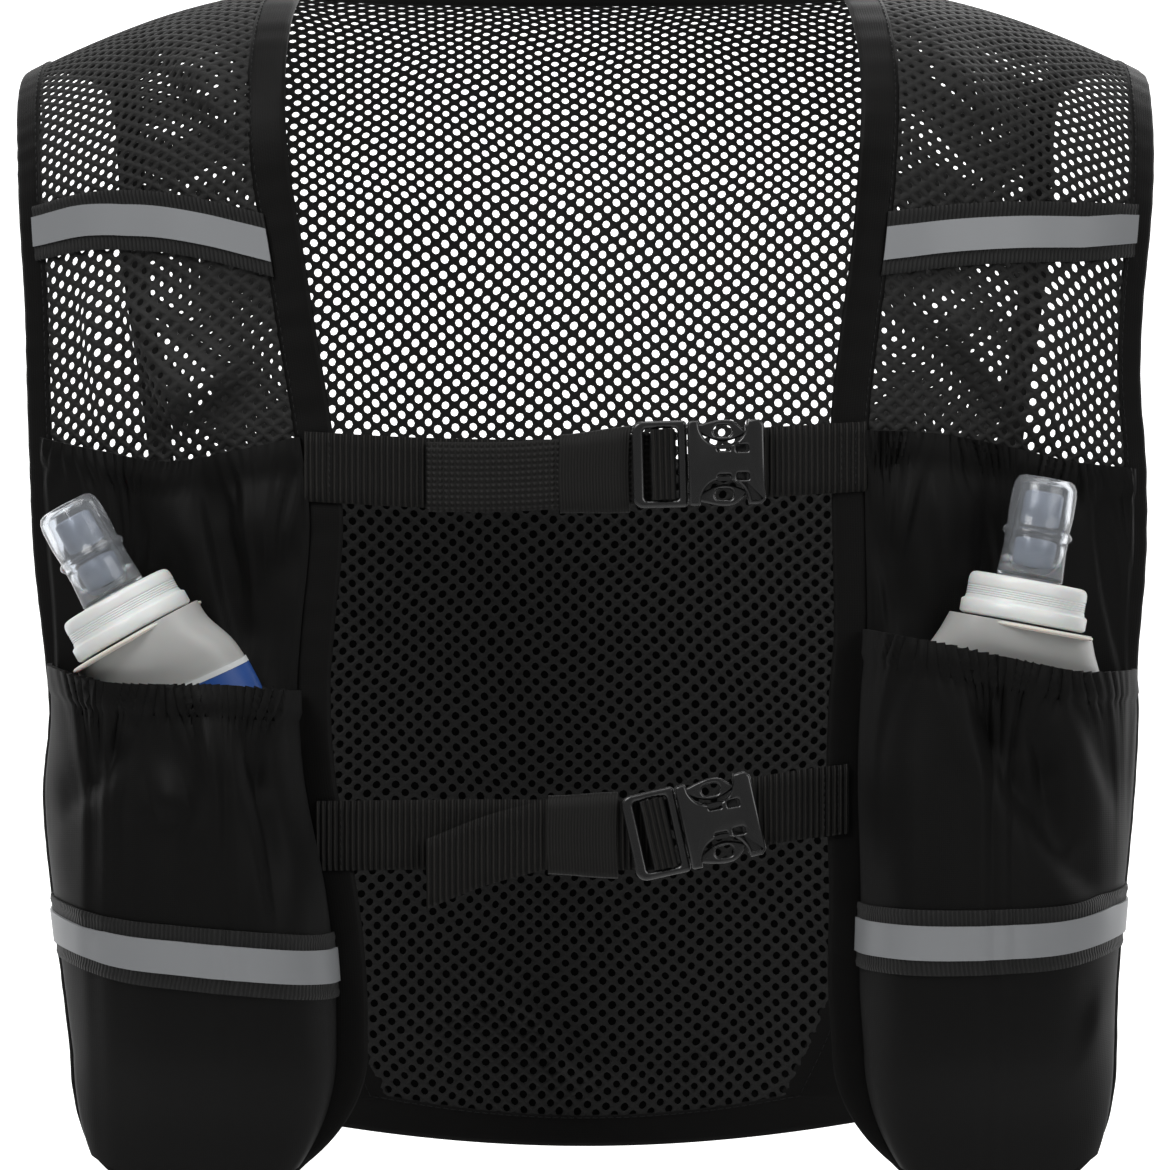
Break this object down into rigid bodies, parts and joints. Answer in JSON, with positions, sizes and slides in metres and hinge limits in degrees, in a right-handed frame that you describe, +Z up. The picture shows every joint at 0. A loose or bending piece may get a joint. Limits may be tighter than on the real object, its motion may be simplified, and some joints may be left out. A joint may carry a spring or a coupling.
{
  "type": "running hydration vest",
  "caption": "Open-net running vest in worn form, with gathered front pockets, two soft flasks, reflective tapes and two buckled chest straps",
  "frame": {"origin": "middle of the shoulder ridge, where the vest hangs on its wearer's shoulders", "axes": "+Z up, -Y to the front, +X to the right seen from the front"},
  "size_m": [0.42, 0.2656, 0.4514],
  "materials": {
    "net": "matt knitted net with round holes",
    "binding": "smooth folded binding tape",
    "pocket_cloth": "matt stretch cloth",
    "tape_dark": "dark woven border",
    "tape_silver": "grey retroreflective film, satin",
    "webbing": "ribbed webbing",
    "elastic": "fine ribbed elastic",
    "buckle_plastic": "black moulded, semi-gloss",
    "flask_film": "translucent soft film",
    "cap_plastic": "milky translucent moulding",
    "valve_silicone": "clear soft silicone"
  },
  "bodies": {
    "root": {"back_net": "net", "left_front_net": "net", "right_front_net": "net", "back_binding": "binding", "neck_binding": "binding", "left_inner_binding": "binding", "right_inner_binding": "binding", "left_armhole_binding": "binding", "right_armhole_binding": "binding", "back_pocket": "pocket_cloth", "left_upper_pocket": "pocket_cloth", "right_upper_pocket": "pocket_cloth", "left_flask_pocket": "pocket_cloth", "right_flask_pocket": "pocket_cloth", "left_chest_tape_base": "tape_dark", "left_chest_tape_silver": "tape_silver", "left_pocket_tape_base": "tape_dark", "left_pocket_tape_silver": "tape_silver", "left_flask_body": "flask_film", "left_flask_cap": "cap_plastic", "left_bite_valve": "valve_silicone", "right_chest_tape_base": "tape_dark", "right_chest_tape_silver": "tape_silver", "right_pocket_tape_base": "tape_dark", "right_pocket_tape_silver": "tape_silver", "right_flask_body": "flask_film", "right_flask_cap": "cap_plastic", "right_bite_valve": "valve_silicone", "top_strap_left": "webbing", "top_strap_tail": "webbing", "top_strap_loop": "webbing", "top_strap_right": "webbing", "top_strap_keeper": "elastic", "top_buckle_male": "buckle_plastic", "top_buckle_female": "buckle_plastic", "bottom_strap_left": "webbing", "bottom_strap_tail": "webbing", "bottom_strap_loop": "webbing", "bottom_strap_right": "webbing", "bottom_strap_keeper": "elastic", "bottom_buckle_male": "buckle_plastic", "bottom_buckle_female": "buckle_plastic"}
  },
  "joints": []
}
